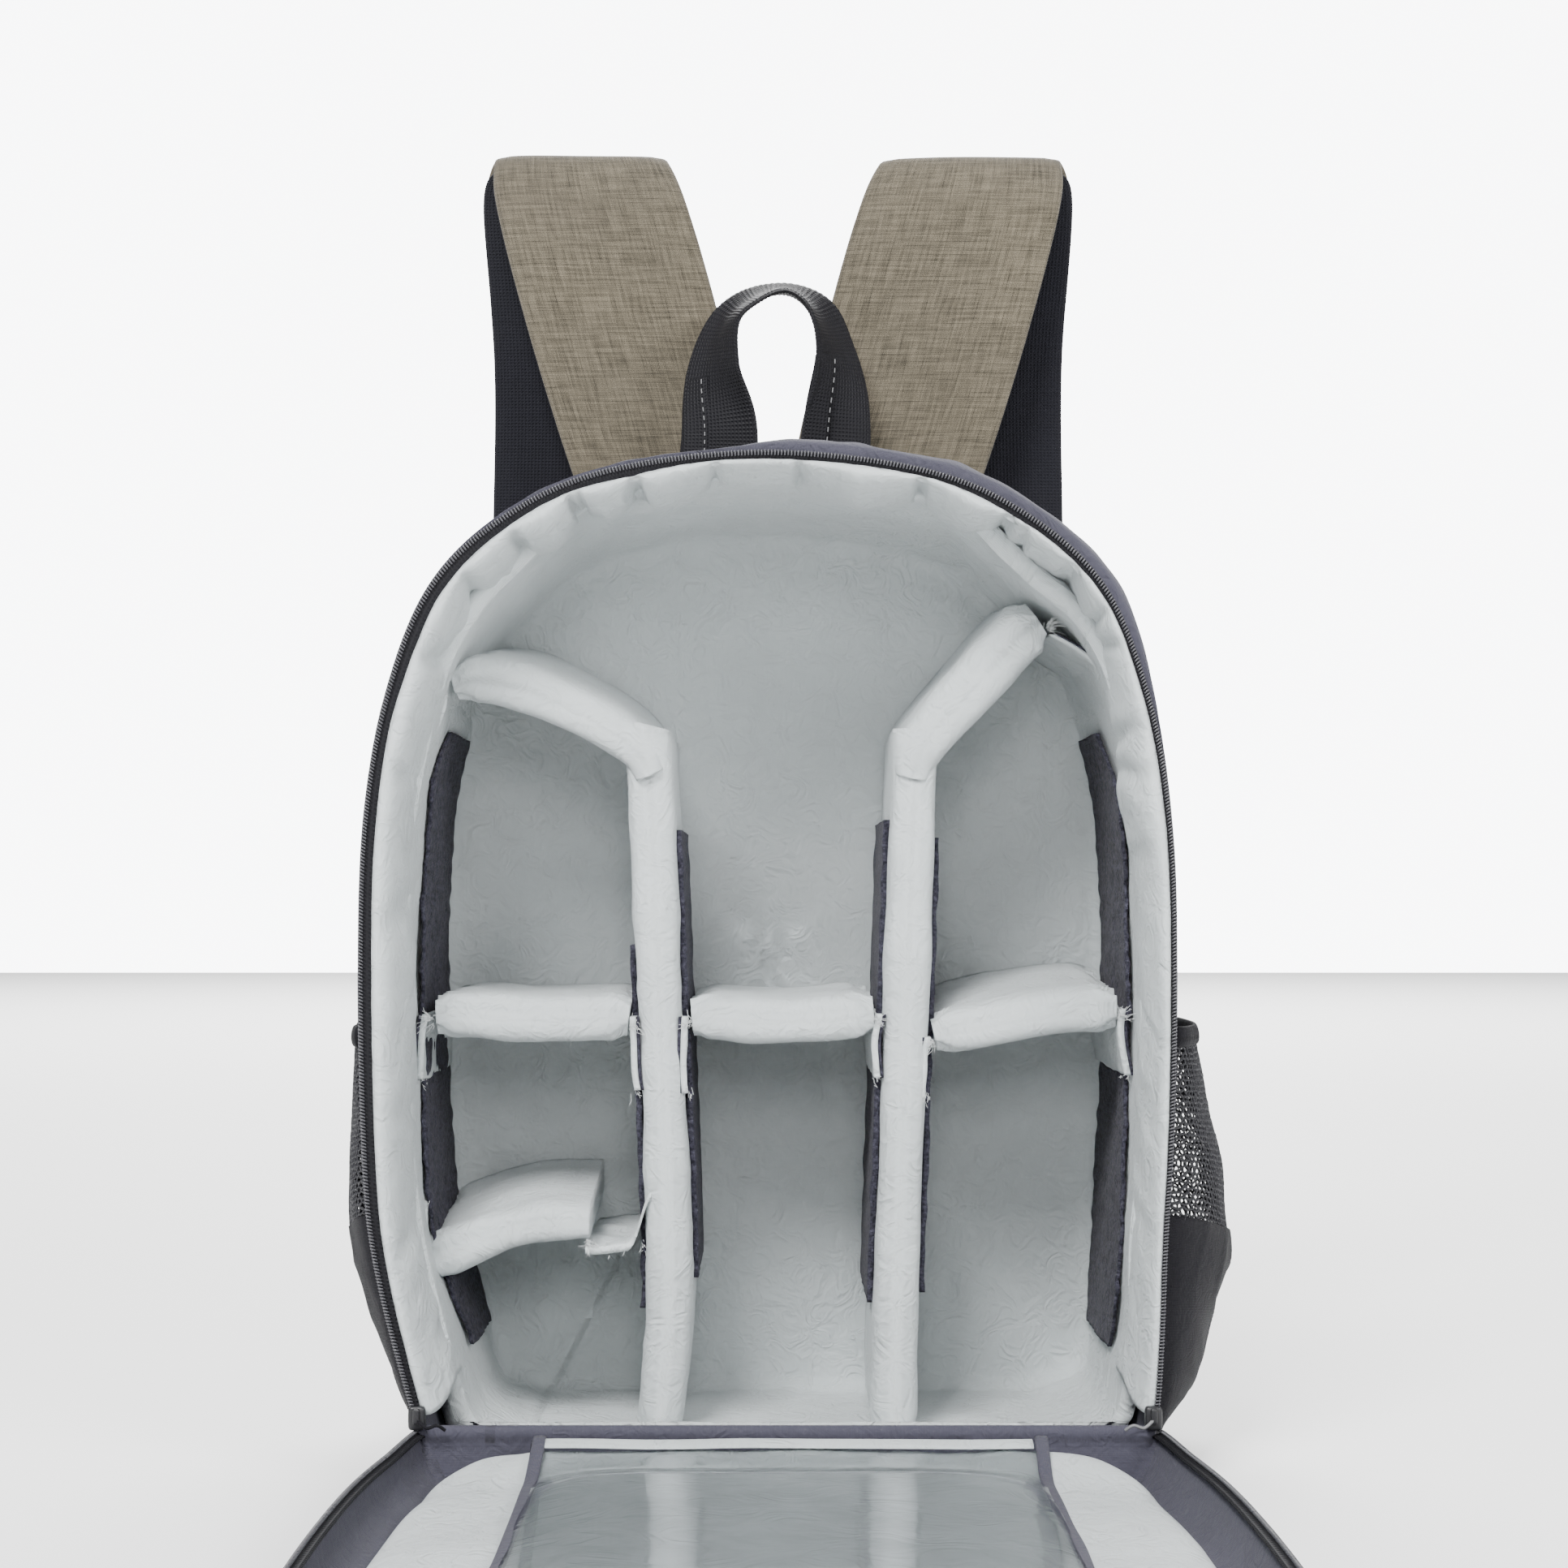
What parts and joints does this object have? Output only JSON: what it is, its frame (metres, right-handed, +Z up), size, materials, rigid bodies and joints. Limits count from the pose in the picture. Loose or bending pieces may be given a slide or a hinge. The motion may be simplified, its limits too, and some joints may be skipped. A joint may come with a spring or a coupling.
{
  "type": "camera backpack",
  "caption": "Clamshell camera backpack standing open: padded divided cavity, folded-down front flap with clear pocket, shoulder straps, carry handle and mesh side pockets",
  "frame": {"origin": "on the surface that the bag stands on, under the middle of its upper body", "axes": "+Z up, the opening faces -Y and +X is to the right seen from the front"},
  "size_m": [0.3527, 0.5496, 0.5513],
  "materials": {
    "shell": "dark purple-grey woven polyester, matt",
    "piping": "purple-grey corded piping",
    "black_cloth": "black ribbed webbing and plain cloth",
    "mesh_cloth": "black open knit mesh",
    "khaki_cloth": "khaki linen-look melange weave",
    "lining": "light grey satin-faced padded cloth",
    "velvet": "dark purple-grey brushed loop pile",
    "zip_teeth": "fine black coil teeth with a dull shine",
    "plastic": "black moulded plastic",
    "clear_film": "clear flexible film"
  },
  "bodies": {
    "root": {"shell": "shell", "flap_shell": "shell", "flap_binding_left": "shell", "flap_binding_right": "shell", "piping": "piping", "zip_tape": "black_cloth", "flap_zip_tape": "black_cloth", "webbing_left": "black_cloth", "webbing_right": "black_cloth", "handle": "black_cloth", "pocket_panel_left": "black_cloth", "pocket_panel_right": "black_cloth", "pocket_hem_left": "black_cloth", "pocket_hem_right": "black_cloth", "back_panel": "mesh_cloth", "strap_mesh_left": "mesh_cloth", "strap_mesh_right": "mesh_cloth", "pocket_net_left": "mesh_cloth", "pocket_net_right": "mesh_cloth", "strap_left": "khaki_cloth", "strap_right": "khaki_cloth", "lining": "lining", "rim": "lining", "divider_left": "lining", "divider_right": "lining", "divider_upper_left": "lining", "divider_upper_right": "lining", "divider_left_mid": "lining", "divider_middle_mid": "lining", "divider_right_mid": "lining", "divider_left_low": "lining", "flap_pad": "lining", "flap_hem": "lining", "velvet_wall_left": "velvet", "velvet_wall_right": "velvet", "velvet_left_outer": "velvet", "velvet_left_inner": "velvet", "velvet_right_inner": "velvet", "velvet_right_outer": "velvet", "zip_teeth": "zip_teeth", "flap_zip_teeth": "zip_teeth", "slider_left": "plastic", "slider_right": "plastic", "adjuster_left": "plastic", "adjuster_right": "plastic", "flap_window": "clear_film"}
  },
  "joints": []
}
